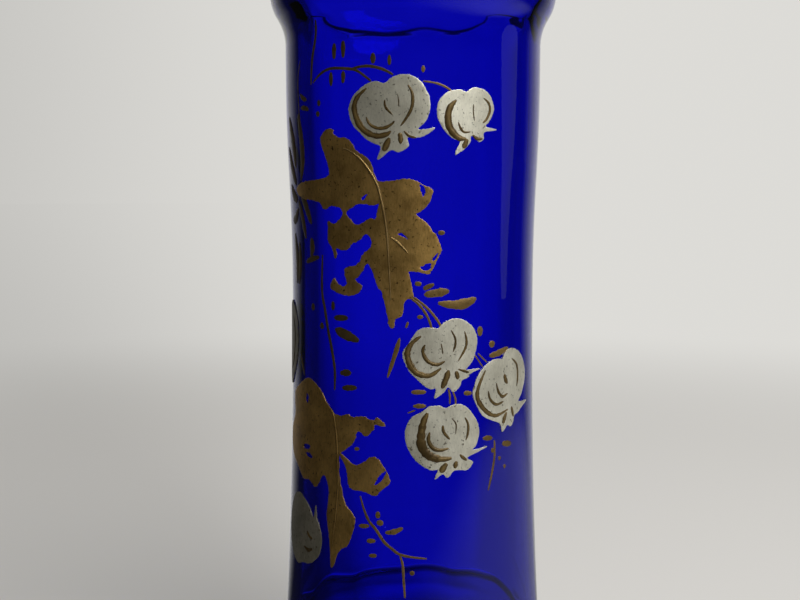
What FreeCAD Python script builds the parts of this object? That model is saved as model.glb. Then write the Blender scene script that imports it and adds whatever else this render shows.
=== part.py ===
import FreeCAD, Part
import Sketcher
import os

# A footed glass bottle with a ground stopper. The bottle stands on z = 0 with its
# axis on Z, and the painted side faces -Y. Angles turn about Z from that front,
# positive towards +X. All sizes are in millimetres and degrees.

doc = FreeCAD.newDocument("antique_glass_bottle")

# Sizes that drive the model
SIZES = {
    # glass wall, from the standing ring up to the lip
    "standing_ring_inner_radius": 24.0,
    "standing_ring_outer_radius": 31.5,
    "pontil_rise": 5.0,
    "foot_radius": 36.5,
    "foot_bulge_height": 13.0,
    "foot_step_height": 15.0,
    "barrel_foot_radius": 31.9,
    "lower_barrel_height": 81.3,
    "waist_radius": 29.8,
    "upper_barrel_height": 49.0,
    "barrel_top_radius": 31.0,
    "collar_band_height": 7.5,
    "shoulder_step_height": 12.9,
    "shoulder_radius": 34.7,
    "dome_height": 34.0,
    "neck_radius": 11.8,
    "neck_height": 22.0,
    "lip_flare_height": 13.0,
    "lip_radius": 17.0,
    "lip_edge": 2.6,
    "wall_thickness": 3.0,
    "floor_radius": 25.5,
    "floor_thickness": 6.0,
    # ground seat in the neck and the stopper that fits it
    "lip_funnel_depth": 9.0,
    "seat_depth": 22.0,
    "seat_flare": 0.9,
    "seat_clearance": 0.15,
    "peg_chamfer": 0.8,
    "stopper_lift_gap": 0.4,
    "stopper_collar_radius": 14.2,
    "stopper_collar_thickness": 3.2,
    "stopper_collar_round": 0.9,
    "stopper_stem_radius": 6.4,
    "stopper_stem_rise": 9.0,
    "stopper_ball_radius": 14.6,
    "stopper_ball_rise": 14.5,
    "stopper_tip_radius": 2.6,
    "stopper_tip_rise": 16.5,
    "stopper_cap_rise": 2.4,
    # fired enamel on the outside of the wall
    "enamel_bond": 0.15,
    "enamel_thickness": 0.3,
    "stem_width": 0.95,
    "leaflet_width": 1.5,
    # gilt leaves: place, width and height of each
    "upper_leaf_angle": -22.0,
    "upper_leaf_below_collar": 44.3,
    "upper_leaf_width": 32.0,
    "upper_leaf_height": 44.0,
    "lower_leaf_angle": -36.0,
    "lower_leaf_below_waist": 41.3,
    "lower_leaf_width": 31.0,
    "lower_leaf_height": 44.0,
    # silver fruits: place, width, rise of the crown and drop to the sepals
    "top_left_fruit_angle": -9.0,
    "top_left_fruit_below_collar": 16.3,
    "top_left_fruit_width": 17.8,
    "top_left_fruit_rise": 7.4,
    "top_left_fruit_drop": 8.6,
    "top_right_fruit_angle": 22.4,
    "top_right_fruit_below_collar": 17.4,
    "top_right_fruit_width": 13.2,
    "top_right_fruit_rise": 5.8,
    "top_right_fruit_drop": 6.4,
    "middle_fruit_angle": 11.9,
    "middle_fruit_below_waist": 14.9,
    "middle_fruit_width": 17.2,
    "middle_fruit_rise": 8.0,
    "middle_fruit_drop": 7.8,
    "right_fruit_angle": 45.0,
    "right_fruit_below_waist": 23.5,
    "right_fruit_width": 17.6,
    "right_fruit_rise": 8.6,
    "right_fruit_drop": 8.2,
    "bottom_fruit_angle": 13.1,
    "bottom_fruit_below_waist": 34.1,
    "bottom_fruit_width": 17.2,
    "bottom_fruit_rise": 7.3,
    "bottom_fruit_drop": 7.8,
    "lower_left_fruit_angle": -66.0,
    "lower_left_fruit_below_waist": 58.6,
    "lower_left_fruit_width": 17.0,
    "lower_left_fruit_rise": 7.4,
    "lower_left_fruit_drop": 8.0,
    "far_left_fruit_angle": -84.0,
    "far_left_fruit_below_waist": 14.3,
    "far_left_fruit_width": 17.0,
    "far_left_fruit_rise": 8.0,
    "far_left_fruit_drop": 8.0,
    # gilt sprigs: place, width and height of each
    "upper_sprig_angle": -34.0,
    "upper_sprig_below_collar": 9.8,
    "upper_sprig_width": 25.0,
    "upper_sprig_height": 29.0,
    "top_sprig_angle": 8.0,
    "top_sprig_below_collar": 9.8,
    "top_sprig_width": 7.0,
    "top_sprig_height": 6.0,
    "middle_sprig_angle": 8.0,
    "middle_sprig_below_waist": 4.3,
    "middle_sprig_width": 21.0,
    "middle_sprig_height": 28.0,
    "right_sprig_angle": 40.0,
    "right_sprig_below_waist": 29.3,
    "right_sprig_width": 14.0,
    "right_sprig_height": 38.0,
    "left_sprig_angle": -46.0,
    "left_sprig_below_waist": 9.3,
    "left_sprig_width": 15.0,
    "left_sprig_height": 31.0,
    "lower_sprig_angle": -12.0,
    "lower_sprig_below_waist": 57.3,
    "lower_sprig_width": 16.0,
    "lower_sprig_height": 23.0,
}

sheet = doc.addObject("Spreadsheet::Sheet", "Sizes")
for row, (name, value) in enumerate(SIZES.items(), start=1):
    sheet.set(f"A{row}", name)
    sheet.set(f"B{row}", str(value))
    sheet.setAlias(f"B{row}", name)
doc.recompute()


def size(name):
    """The expression for one size on the sheet."""
    return f"Sizes.{name}"


def number(value):
    """The present value of an expression, or a plain number as it is."""
    if isinstance(value, str):
        return float(sheet.evalExpression(value))
    return float(value)


def point(x, z):
    return FreeCAD.Vector(number(x), number(z), 0)


class Outline:
    """A closed outline in a sketch, whose corners are held to the sheet."""

    def __init__(self, sketch, x, z):
        self.sketch = sketch
        self.here = (x, z)
        self.segments = []

    def hold(self, index, position, x, z):
        for kind, value, axis in (("DistanceX", x, -2), ("DistanceY", z, -1)):
            if value == "0":
                constraint = Sketcher.Constraint("PointOnObject", index, position, axis)
                self.sketch.addConstraint(constraint)
                continue
            constraint = Sketcher.Constraint(kind, -1, 1, index, position, number(value))
            held = self.sketch.addConstraint(constraint)
            if isinstance(value, str):
                name = f"{kind}_{index}_{position}"
                self.sketch.renameConstraint(held, name)
                self.sketch.setExpression(f"Constraints.{name}", value)

    def add(self, curve, x, z):
        index = self.sketch.addGeometry(curve, False)
        begin, end = 1, 2
        if self.sketch.getPoint(index, 1).distanceToPoint(point(*self.here)) > 1e-6:
            begin, end = 2, 1
        if self.segments:
            last, _, last_end = self.segments[-1]
            joined = Sketcher.Constraint("Coincident", last, last_end, index, begin)
            self.sketch.addConstraint(joined)
        self.segments.append((index, begin, end))
        self.hold(index, end, x, z)
        self.here = (x, z)
        return index

    def line(self, x, z):
        self.add(Part.LineSegment(point(*self.here), point(x, z)), x, z)

    def arc_about(self, centre, x, z):
        """An arc of less than half a turn about a centre."""
        start = point(*self.here)
        end = point(x, z)
        middle = (start - centre) + (end - centre)
        middle.normalize()
        via = centre + middle * (end - centre).Length
        return self.add(Part.Arc(start, via, end), x, z)

    def leave_upright(self, x, z):
        """An arc that starts off vertical: its centre is level with its start."""
        start = point(*self.here)
        way = point(x, z) - start
        centre = start + FreeCAD.Vector(way.Length ** 2 / (2 * way.x), 0, 0)
        index = self.arc_about(centre, x, z)
        begin = self.segments[-1][1]
        self.sketch.addConstraint(Sketcher.Constraint("Horizontal", index, 3, index, begin))

    def arrive_upright(self, x, z):
        """An arc that ends vertical: its centre is level with its end."""
        end = point(x, z)
        way = point(*self.here) - end
        centre = end + FreeCAD.Vector(way.Length ** 2 / (2 * way.x), 0, 0)
        index = self.arc_about(centre, x, z)
        finish = self.segments[-1][2]
        self.sketch.addConstraint(Sketcher.Constraint("Horizontal", index, 3, index, finish))

    def dome(self, x, z):
        """An arc whose centre lies on the axis of the piece."""
        start = point(*self.here)
        end = point(x, z)
        level = (end.Length ** 2 - start.Length ** 2) / (2 * (end.y - start.y))
        index = self.arc_about(FreeCAD.Vector(0, level, 0), x, z)
        self.sketch.addConstraint(Sketcher.Constraint("PointOnObject", index, 3, -2))

    def arc(self, via_x, via_z, x, z):
        """An arc through a point."""
        index = self.add(Part.Arc(point(*self.here), point(via_x, via_z), point(x, z)), x, z)
        via = self.sketch.addGeometry(Part.Point(point(via_x, via_z)), True)
        self.sketch.addConstraint(Sketcher.Constraint("PointOnObject", via, 1, index))
        self.hold(via, 1, via_x, via_z)

    def ogee(self, radius_from, z_from, radius_to, z_to, inset="0"):
        """Two equal arcs, vertical at both ends, set in square to their curve."""
        rise = f"(({z_to}) - ({z_from}))"
        step = f"(({radius_to}) - ({radius_from}))"
        square = f"({rise}^2 + {step}^2)"
        middle_x = f"(({radius_from}) + ({radius_to})) / 2 - ({inset}) * ({rise}^2 - {step}^2) / {square}"
        middle_z = f"(({z_from}) + ({z_to})) / 2 + ({inset}) * 2 * {rise} * {step} / {square}"
        self.leave_upright(middle_x, middle_z)
        self.arrive_upright(f"({radius_to}) - ({inset})", z_to)

    def close(self):
        first, begin, _ = self.segments[0]
        last, _, end = self.segments[-1]
        self.sketch.addConstraint(Sketcher.Constraint("Coincident", last, end, first, begin))


def new_body(name):
    body = doc.addObject("PartDesign::Body", name)
    body.Label = name
    return body


def new_sketch(body, name):
    """A sketch on the upright plane of a body: x is across and y is up."""
    sketch = body.newObject("Sketcher::SketchObject", name)
    upright = [plane for plane in body.Origin.OriginFeatures if plane.Role == "XZ_Plane"][0]
    sketch.AttachmentSupport = [(upright, "")]
    sketch.MapMode = "FlatFace"
    return sketch


def revolve(body, sketch):
    turned = body.newObject("PartDesign::Revolution", body.Name + "_turned")
    turned.Profile = sketch
    turned.ReferenceAxis = (sketch, ["V_Axis"])
    turned.Angle = 360
    sketch.Visibility = False
    body.Tip = turned


# Heights of the wall, from the standing ring up
foot_z = size("foot_bulge_height")
barrel_foot_z = f"{foot_z} + {size('foot_step_height')}"
waist_z = f"{barrel_foot_z} + {size('lower_barrel_height')}"
barrel_top_z = f"{waist_z} + {size('upper_barrel_height')}"
collar_z = f"{barrel_top_z} + {size('collar_band_height')}"
shoulder_z = f"{collar_z} + {size('shoulder_step_height')}"
neck_foot_z = f"{shoulder_z} + {size('dome_height')}"
neck_top_z = f"{neck_foot_z} + {size('neck_height')}"
rim_z = f"{neck_top_z} + {size('lip_flare_height')}"
lip_z = f"{rim_z} + {size('lip_edge')}"
seat_top_z = f"{lip_z} - {size('lip_funnel_depth')}"
seat_bottom_z = f"{seat_top_z} - {size('seat_depth')}"
bore_radius = f"{size('neck_radius')} - {size('wall_thickness')}"
seat_radius = f"{bore_radius} + {size('seat_flare')}"

# The wall's outer stations from the foot up, each with the curve that leads to the next one
STATIONS = {
    "foot": (size("foot_radius"), foot_z, "ogee"),
    "barrel foot": (size("barrel_foot_radius"), barrel_foot_z, "sweep"),
    "waist": (size("waist_radius"), waist_z, "ogee"),
    "barrel top": (size("barrel_top_radius"), barrel_top_z, "line"),
    "collar": (size("barrel_top_radius"), collar_z, "ogee"),
    "shoulder": (size("shoulder_radius"), shoulder_z, "ogee"),
    "neck foot": (size("neck_radius"), neck_foot_z, "line"),
    "neck top": (size("neck_radius"), neck_top_z, "line"),
}


def follow_wall(outline, first, last, inset):
    """Carry an outline along the wall between two stations, set in by a thickness."""
    names = list(STATIONS)
    start = names.index(first)
    end = names.index(last)
    if end > start:
        way = names[start:end + 1]
    else:
        way = names[end:start + 1][::-1]
    for here, there in zip(way, way[1:]):
        lower = here if end > start else there
        curve = STATIONS[lower][2]
        radius, z, _ = STATIONS[there]
        if curve == "ogee":
            outline.ogee(STATIONS[here][0], STATIONS[here][1], radius, z, inset)
        elif curve == "line":
            outline.line(f"({radius}) - ({inset})", z)
        elif end > start:
            outline.arrive_upright(f"({radius}) - ({inset})", z)
        else:
            outline.leave_upright(f"({radius}) - ({inset})", z)


# Blown glass bottle: one wall from the pushed-up base to the flared lip
wall = size("wall_thickness")
bottle = new_body("glass_bottle")
bottle_sketch = new_sketch(bottle, "bottle_section")
section = Outline(bottle_sketch, "0", size("pontil_rise"))
section.dome(size("standing_ring_inner_radius"), "0")
section.line(size("standing_ring_outer_radius"), "0")
section.arrive_upright(size("foot_radius"), foot_z)
follow_wall(section, "foot", "neck top", "0")
section.leave_upright(size("lip_radius"), rim_z)
section.leave_upright(f"{size('lip_radius')} - {size('lip_edge')}", lip_z)
section.arrive_upright(seat_radius, seat_top_z)
section.line(bore_radius, seat_bottom_z)
section.line(bore_radius, neck_foot_z)
follow_wall(section, "neck foot", "foot", wall)
section.leave_upright(size("floor_radius"), size("floor_thickness"))
section.dome("0", f"{size('floor_thickness')} + {size('pontil_rise')}")
section.line("0", size("pontil_rise"))
section.close()
revolve(bottle, bottle_sketch)

# Solid glass stopper: ground peg, collar, stem and pointed ball
collar_under_z = f"{lip_z} + {size('stopper_lift_gap')}"
collar_top_z = f"{collar_under_z} + {size('stopper_collar_thickness')}"
collar_mid_z = f"{collar_under_z} + {size('stopper_collar_thickness')} / 2"
stem_z = f"{collar_top_z} + {size('stopper_stem_rise')}"
ball_z = f"{stem_z} + {size('stopper_ball_rise')}"
tip_z = f"{ball_z} + {size('stopper_tip_rise')}"
cap_z = f"{tip_z} + {size('stopper_cap_rise')}"
peg_bottom_radius = f"{bore_radius} - {size('seat_clearance')}"
peg_radius = f"{seat_radius} - {size('seat_clearance')}"
stopper = new_body("glass_stopper")
stopper_sketch = new_sketch(stopper, "stopper_section")
section = Outline(stopper_sketch, "0", seat_bottom_z)
section.line(f"{peg_bottom_radius} - {size('peg_chamfer')}", seat_bottom_z)
section.line(peg_bottom_radius, f"{seat_bottom_z} + {size('peg_chamfer')}")
section.line(peg_radius, seat_top_z)
section.line(peg_radius, collar_under_z)
section.line(size("stopper_collar_radius"), collar_under_z)
section.arc(
    f"{size('stopper_collar_radius')} + {size('stopper_collar_round')}",
    collar_mid_z,
    size("stopper_collar_radius"),
    collar_top_z,
)
section.ogee(size("stopper_collar_radius"), collar_top_z, size("stopper_stem_radius"), stem_z)
section.ogee(size("stopper_stem_radius"), stem_z, size("stopper_ball_radius"), ball_z)
section.ogee(size("stopper_ball_radius"), ball_z, size("stopper_tip_radius"), tip_z)
section.dome("0", cap_z)
section.line("0", seat_bottom_z)
section.close()
revolve(stopper, stopper_sketch)

# The skin that the enamel is cut from lies on the glass from the barrel's foot to the shoulder
bond = f"-{size('enamel_bond')}"
face = f"-{size('enamel_bond')} - {size('enamel_thickness')}"
skin = new_body("enamel_skin")
skin_sketch = new_sketch(skin, "skin_section")
section = Outline(skin_sketch, f"{size('barrel_foot_radius')} - ({bond})", barrel_foot_z)
follow_wall(section, "barrel foot", "shoulder", bond)
section.line(f"{size('shoulder_radius')} - ({face})", shoulder_z)
follow_wall(section, "shoulder", "barrel foot", face)
section.line(f"{size('barrel_foot_radius')} - ({bond})", barrel_foot_z)
section.close()
revolve(skin, skin_sketch)


def pad_out(body, sketch):
    """Carry a motif's outline from the axis out through the wall's front."""
    pad = body.newObject("PartDesign::Pad", sketch.Name + "_pad")
    pad.Profile = sketch
    pad.setExpression("Length", f"{size('shoulder_radius')} + {size('foot_radius')}")
    sketch.Visibility = False
    body.Tip = pad


def new_motif(name):
    """A body turned to the motif's own angle, and set down from the collar or the waist."""
    body = new_body(name + "_outline")
    body.AllowCompound = True
    if name + "_below_collar" in SIZES:
        level = f"{collar_z} - {size(name + '_below_collar')}"
    else:
        level = f"{waist_z} - {size(name + '_below_waist')}"
    place = f"create(<<vector>>; 0; 0; {level})"
    turn = f"create(<<rotation>>; create(<<vector>>; 0; 0; 1); {size(name + '_angle')})"
    body.setExpression("Placement", f"create(<<placement>>; {place}; {turn})")
    return body


def lay_on_glass(body, name):
    """The part of the enamel skin that lies inside a motif's outline."""
    layer = doc.addObject("Part::Common", name)
    layer.Label = name
    layer.Base = skin
    layer.Tool = body
    return layer


def brush_stroke(body, name, start, end, bow, width):
    """One loaded stroke, pointed at both ends: two arcs from start to end.

    The stroke bows to the left of its way by bow, and its belly is width across.
    """
    across = number(end[0]) - number(start[0])
    up = number(end[1]) - number(start[1])
    length = (across ** 2 + up ** 2) ** 0.5
    side = (-up / length, across / length)
    left = []
    right = []
    for axis in (0, 1):
        middle = f"({start[axis]} + {end[axis]}) / 2"
        left.append(f"{middle} + {side[axis]:.4f} * ({bow} + {width} / 2)")
        right.append(f"{middle} + {side[axis]:.4f} * ({bow} - {width} / 2)")
    sketch = new_sketch(body, name)
    outline = Outline(sketch, *start)
    outline.arc(*left, *end)
    outline.arc(*right, *start)
    outline.close()
    pad_out(body, sketch)


def stroke_ends(name, start, end):
    """Two points given as shares of the motif's width and height, as expressions."""
    width = size(name + "_width")
    height = size(name + "_height")
    return [(f"({across}) * {width}", f"({up}) * {height}") for across, up in (start, end)]


def fruit(name):
    """A two-lobed fruit with three pointed sepals under it."""
    half = f"{size(name + '_width')} / 2"
    rise = size(name + "_rise")
    drop = size(name + "_drop")
    body = new_motif(name)
    sketch = new_sketch(body, name + "_sketch")
    outline = Outline(sketch, "0", f"0.78 * {rise}")
    outline.arc(f"-0.68 * {half}", f"0.74 * {rise}", f"-{half}", f"0.02 * {rise}")
    outline.arc(f"-0.7 * {half}", f"-0.68 * {drop}", f"-0.16 * {half}", f"-0.98 * {drop}")
    outline.line(f"-0.2 * {half}", f"-1.25 * {drop}")
    outline.arc(f"0.1 * {half}", f"-1.1 * {drop}", f"0.2 * {half}", f"-0.95 * {drop}")
    outline.line(f"0.42 * {half}", f"-1.08 * {drop}")
    outline.arc(f"0.6 * {half}", f"-0.92 * {drop}", f"0.6 * {half}", f"-0.72 * {drop}")
    outline.arc(f"0.86 * {half}", f"-0.64 * {drop}", f"1.12 * {half}", f"-0.45 * {drop}")
    outline.line(f"0.78 * {half}", f"-0.48 * {drop}")
    outline.arc(f"0.97 * {half}", f"-0.06 * {drop}", half, f"0.36 * {rise}")
    outline.arc(f"0.62 * {half}", f"0.98 * {rise}", "0", f"0.78 * {rise}")
    outline.close()
    pad_out(body, sketch)
    return lay_on_glass(body, name)


def leaf(name, lobes):
    """A lobed leaf. Each lobe is a broad stroke: start, end, bow and belly.

    They are shares of the leaf's width, and of its height where they go up.
    """
    body = new_motif(name)
    width = size(name + "_width")
    for count, (start, end, bow, belly) in enumerate(lobes, start=1):
        ends = stroke_ends(name, start, end)
        brush_stroke(body, f"{name}_lobe_{count}", *ends, f"({bow}) * {width}", f"{belly} * {width}")
    return lay_on_glass(body, name + "_lobes")


def sprig(name, stems, leaflets):
    """Thin stems and short leaflets. Each is a stroke: start, end and bow, as in a leaf."""
    body = new_motif(name)
    width = size(name + "_width")
    strokes = [(stroke, size("stem_width")) for stroke in stems]
    strokes += [(stroke, size("leaflet_width")) for stroke in leaflets]
    for count, ((start, end, bow), belly) in enumerate(strokes, start=1):
        ends = stroke_ends(name, start, end)
        brush_stroke(body, f"{name}_stroke_{count}", *ends, f"({bow}) * {width}", belly)
    return lay_on_glass(body, name + "_strokes")


# Gilt leaves
upper_leaf_layer = leaf("upper_leaf", [
    ((-0.31, 0.53), (0.14, 0.05), 0.00, 0.33),
    ((-0.62, 0.21), (0.14, 0.19), 0.03, 0.19),
    ((-0.06, 0.20), (0.50, 0.20), 0.02, 0.23),
    ((0.06, 0.12), (0.53, -0.15), 0.03, 0.28),
    ((0.14, 0.05), (-0.31, -0.09), 0.00, 0.19),
    ((0.12, 0.02), (-0.25, -0.29), 0.03, 0.17),
    ((0.10, 0.10), (0.22, -0.47), 0.03, 0.30),
])
lower_leaf_layer = leaf("lower_leaf", [
    ((-0.40, 0.42), (0.03, 0.02), 0.00, 0.26),
    ((-0.24, 0.28), (0.41, 0.22), -0.03, 0.16),
    ((-0.62, 0.10), (0.04, 0.02), 0.03, 0.29),
    ((-0.07, 0.20), (-0.02, -0.56), 0.02, 0.20),
    ((0.10, -0.04), (0.45, -0.06), 0.02, 0.26),
])

# Silver fruits
FRUIT_NAMES = [
    "top_left_fruit",
    "top_right_fruit",
    "middle_fruit",
    "right_fruit",
    "bottom_fruit",
    "lower_left_fruit",
    "far_left_fruit",
]
fruits = [fruit(name) for name in FRUIT_NAMES]

# Gilt sprigs: stems first, then leaflets, as start, end and bow in the sprig's own place
upper_sprig_layer = sprig(
    "upper_sprig",
    [
        ((-0.21, 0.46), (-0.30, -0.03), 0.02),
        ((-0.26, 0.01), (0.32, 0.01), -0.12),
        ((0.17, 0.10), (0.52, 0.06), -0.04),
        ((-0.46, 0.18), (-0.46, -0.50), 0.04),
    ],
    [
        ((-0.01, 0.28), (-0.01, 0.16), 0.00),
        ((0.09, 0.29), (0.08, 0.17), 0.00),
        ((0.36, 0.20), (0.36, 0.12), 0.00),
        ((0.50, 0.19), (0.50, 0.11), 0.00),
        ((-0.05, 0.03), (-0.05, -0.07), 0.00),
        ((0.08, 0.03), (0.08, -0.07), 0.00),
        ((-0.20, -0.14), (-0.20, -0.21), 0.00),
        ((-0.38, -0.10), (-0.39, -0.18), 0.00),
    ],
)
top_sprig_layer = sprig(
    "top_sprig",
    [((-0.29, -0.10), (0.63, -0.43), 0.07)],
    [((-0.29, 0.50), (-0.29, 0.17), 0.00)],
)
middle_sprig_layer = sprig(
    "middle_sprig",
    [
        ((-0.27, 0.11), (-0.03, -0.11), 0.04),
        ((-0.19, 0.10), (0.08, -0.09), 0.03),
        ((-0.33, -0.25), (-0.46, -0.56), 0.02),
        ((0.20, -0.70), (0.21, -0.79), 0.00),
    ],
    [
        ((-0.18, 0.20), (-0.10, 0.20), 0.00),
        ((-0.08, 0.16), (0.03, 0.18), 0.00),
        ((-0.07, 0.11), (0.19, 0.14), 0.02),
        ((0.09, 0.03), (0.50, 0.07), 0.04),
        ((-0.15, -0.06), (-0.09, -0.08), 0.00),
        ((-0.22, -0.68), (-0.05, -0.69), 0.00),
        ((-0.20, -0.79), (-0.05, -0.79), 0.00),
    ],
)
right_sprig_layer = sprig(
    "right_sprig",
    [
        ((-0.03, -0.17), (-0.17, -0.47), 0.07),
        ((-0.39, 0.39), (-0.26, 0.33), -0.01),
    ],
    [
        ((-0.29, -0.15), (-0.09, -0.16), 0.00),
        ((0.16, -0.21), (0.36, -0.20), 0.00),
        ((-0.40, 0.51), (-0.26, 0.51), 0.00),
        ((-0.16, 0.42), (-0.01, 0.44), 0.00),
        ((-0.64, 0.14), (-0.48, 0.14), 0.00),
        ((0.08, -0.29), (0.22, -0.36), 0.00),
    ],
)
left_sprig_layer = sprig(
    "left_sprig",
    [((0.07, 0.50), (0.24, -0.24), -0.05)],
    [
        ((0.34, 0.06), (0.55, 0.08), 0.00),
        ((0.34, -0.01), (0.76, -0.09), -0.03),
        ((0.29, 0.19), (0.28, 0.13), 0.00),
        ((0.01, 0.02), (0.01, -0.04), 0.00),
        ((-0.19, 0.16), (-0.19, 0.10), 0.00),
        ((0.43, -0.35), (0.61, -0.32), 0.00),
        ((0.47, -0.45), (0.71, -0.43), 0.00),
    ],
)
lower_sprig_layer = sprig(
    "lower_sprig",
    [
        ((-0.36, 0.39), (0.20, -0.14), -0.06),
        ((0.22, -0.16), (0.59, -0.20), -0.01),
        ((0.21, -0.18), (0.29, -0.58), 0.03),
    ],
    [
        ((-0.40, 0.09), (-0.24, 0.13), 0.00),
        ((-0.07, 0.15), (0.03, 0.17), 0.00),
        ((0.06, 0.07), (0.28, 0.10), 0.00),
        ((-0.25, -0.06), (-0.12, -0.01), 0.00),
        ((-0.23, -0.19), (-0.10, -0.18), 0.00),
        ((0.34, -0.34), (0.44, -0.33), 0.00),
    ],
)


def clear_of(name, layer, neighbours):
    """A layer cut back where its neighbours were laid on the glass before it."""
    for neighbour in neighbours:
        cleared = doc.addObject("Part::Cut", f"{name}_clear_of_{neighbour}")
        cleared.Base = layer
        cleared.Tool = doc.getObject(neighbour + "_outline")
        layer = cleared
    layer.Label = name
    return layer


# The fruits were laid first, then the leaves, and the sprigs fill what is left
upper_leaf = clear_of("upper_leaf", upper_leaf_layer, ["top_left_fruit"])
lower_leaf = clear_of("lower_leaf", lower_leaf_layer, ["lower_left_fruit", "far_left_fruit"])
sprigs = [
    clear_of("upper_sprig", upper_sprig_layer, ["top_left_fruit", "upper_leaf"]),
    clear_of("top_sprig", top_sprig_layer, ["top_left_fruit", "top_right_fruit"]),
    clear_of("middle_sprig", middle_sprig_layer, ["upper_leaf", "middle_fruit", "bottom_fruit"]),
    clear_of("right_sprig", right_sprig_layer, ["middle_fruit", "right_fruit", "bottom_fruit"]),
    clear_of("left_sprig", left_sprig_layer, ["upper_leaf", "lower_leaf", "far_left_fruit"]),
    clear_of("lower_sprig", lower_sprig_layer, ["lower_leaf", "bottom_fruit"]),
]

doc.recompute()
pieces = [bottle, stopper, upper_leaf, lower_leaf] + fruits + sprigs
for item in doc.Objects:
    if "Invalid" in item.State or "Error" in item.State:
        raise RuntimeError(f"{item.Name} did not compute: {item.State}")
os.makedirs("parts", exist_ok=True)
for piece in pieces:
    if piece.Shape.isNull() or not piece.Shape.isValid():
        raise RuntimeError(f"{piece.Label} has no valid shape")
    print(piece.Label, len(piece.Shape.Solids), "solids", round(piece.Shape.Volume, 3), "mm3")
    piece.Shape.exportStep(f"parts/{piece.Label}.step")
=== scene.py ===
import math
import bpy
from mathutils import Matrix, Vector, noise
from mathutils.geometry import interpolate_bezier


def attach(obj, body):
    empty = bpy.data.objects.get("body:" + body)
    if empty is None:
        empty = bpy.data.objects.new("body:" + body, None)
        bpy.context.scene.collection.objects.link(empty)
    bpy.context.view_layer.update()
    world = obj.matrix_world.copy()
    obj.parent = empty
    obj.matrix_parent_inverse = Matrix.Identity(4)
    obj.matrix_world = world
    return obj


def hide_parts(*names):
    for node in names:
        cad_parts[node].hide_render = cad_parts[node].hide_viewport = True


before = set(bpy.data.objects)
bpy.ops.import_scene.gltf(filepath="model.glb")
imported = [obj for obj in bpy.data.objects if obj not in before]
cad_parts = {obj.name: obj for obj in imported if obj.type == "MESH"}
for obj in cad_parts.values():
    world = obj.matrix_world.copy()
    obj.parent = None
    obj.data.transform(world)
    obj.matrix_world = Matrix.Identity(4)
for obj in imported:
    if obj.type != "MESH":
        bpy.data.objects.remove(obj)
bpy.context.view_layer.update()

# Blue glass bottle
# Blown cobalt glass about 3 mm thick, from a pushed-up base through a waisted barrel
# to a flared lip. It is one piece, and all the gold and silver is fired onto it.
# Each place on its outline is a radius and a height in millimetres.
MM = 0.001
WALL = 3.0
PUSHED_UP_RIM = 24.0
PUSHED_UP_TOP = 5.0
STANDING_RING = (31.5, 0.0)
FOOT = (36.46, 13.0)
BARREL_FOOT = (31.9, 28.0)
WAIST = (29.8, 109.3)
BARREL_TOP = (31.0, 158.3)
COLLAR = (31.0, 165.8)
SHOULDER = (34.7, 178.7)
NECK_FOOT = (11.8, 212.7)
NECK_TOP = (11.8, 234.7)
RIM = (17.0, 247.7)
LIP = (14.4, 250.3)
SEAT_TOP = (9.7, 241.3)
SEAT_MIDDLE = (9.25, 230.3)
SEAT_BOTTOM = (8.8, 219.3)
INNER_FLOOR_RIM = (25.5, 6.0)
INNER_FLOOR_TOP = 11.0


def bend(start, end, upright, steps):
    """Points along an arc that is upright at its start or at its end."""
    foot, head = (start, end) if upright == "start" else (end, start)
    across = head[0] - foot[0]
    up = head[1] - foot[1]
    reach = (across ** 2 + up ** 2) / (2 * across)
    turn = math.atan2(up / abs(reach), 1 - across / reach)
    points = []
    for step in range(1, steps + 1):
        share = step / steps if upright == "start" else 1 - step / steps
        angle = turn * share
        points.append((foot[0] + reach * (1 - math.cos(angle)), foot[1] + abs(reach) * math.sin(angle)))
    return points


def ogee(start, end, inset, steps):
    """Points along two arcs, upright at both ends, set in square to the curve."""
    across = end[0] - start[0]
    up = end[1] - start[1]
    square = up ** 2 + across ** 2
    middle_r = (start[0] + end[0]) / 2 - inset * (up ** 2 - across ** 2) / square
    middle_z = (start[1] + end[1]) / 2 + inset * 2 * up * across / square
    middle = (middle_r, middle_z)
    first = bend((start[0] - inset, start[1]), middle, "start", steps)
    return first + bend(middle, (end[0] - inset, end[1]), "end", steps)


def inside(station):
    return (station[0] - WALL, station[1])


def dome(rim_radius, rim_z, crown_z, steps):
    """Points from the axis at the crown down to the rim of a shallow dome."""
    rise = crown_z - rim_z
    ball = (rim_radius ** 2 + rise ** 2) / (2 * rise)
    reach = math.asin(rim_radius / ball)
    angles = [reach * step / steps for step in range(steps + 1)]
    return [(ball * math.sin(angle), crown_z - ball * (1 - math.cos(angle))) for angle in angles]


outer_wall = [FOOT] + ogee(FOOT, BARREL_FOOT, 0.0, 10) + bend(BARREL_FOOT, WAIST, "end", 24)
outer_wall += ogee(WAIST, BARREL_TOP, 0.0, 8) + [COLLAR] + ogee(COLLAR, SHOULDER, 0.0, 10)

section = dome(PUSHED_UP_RIM, 0.0, PUSHED_UP_TOP, 10)
section += [(26.0, 0.0), (28.0, 0.0), (30.0, 0.0), STANDING_RING]
section += bend(STANDING_RING, FOOT, "end", 12)
section += ogee(FOOT, BARREL_FOOT, 0.0, 10)
section += bend(BARREL_FOOT, WAIST, "end", 24)
section += ogee(WAIST, BARREL_TOP, 0.0, 8)
section += [(COLLAR[0], 162.0), COLLAR]
section += ogee(COLLAR, SHOULDER, 0.0, 10)
section += ogee(SHOULDER, NECK_FOOT, 0.0, 12)
section += [(NECK_FOOT[0], 220.0), (NECK_FOOT[0], 227.0), NECK_TOP]
section += bend(NECK_TOP, RIM, "start", 10)
section += bend(RIM, LIP, "start", 8)
section += bend(LIP, SEAT_TOP, "end", 8)

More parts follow.
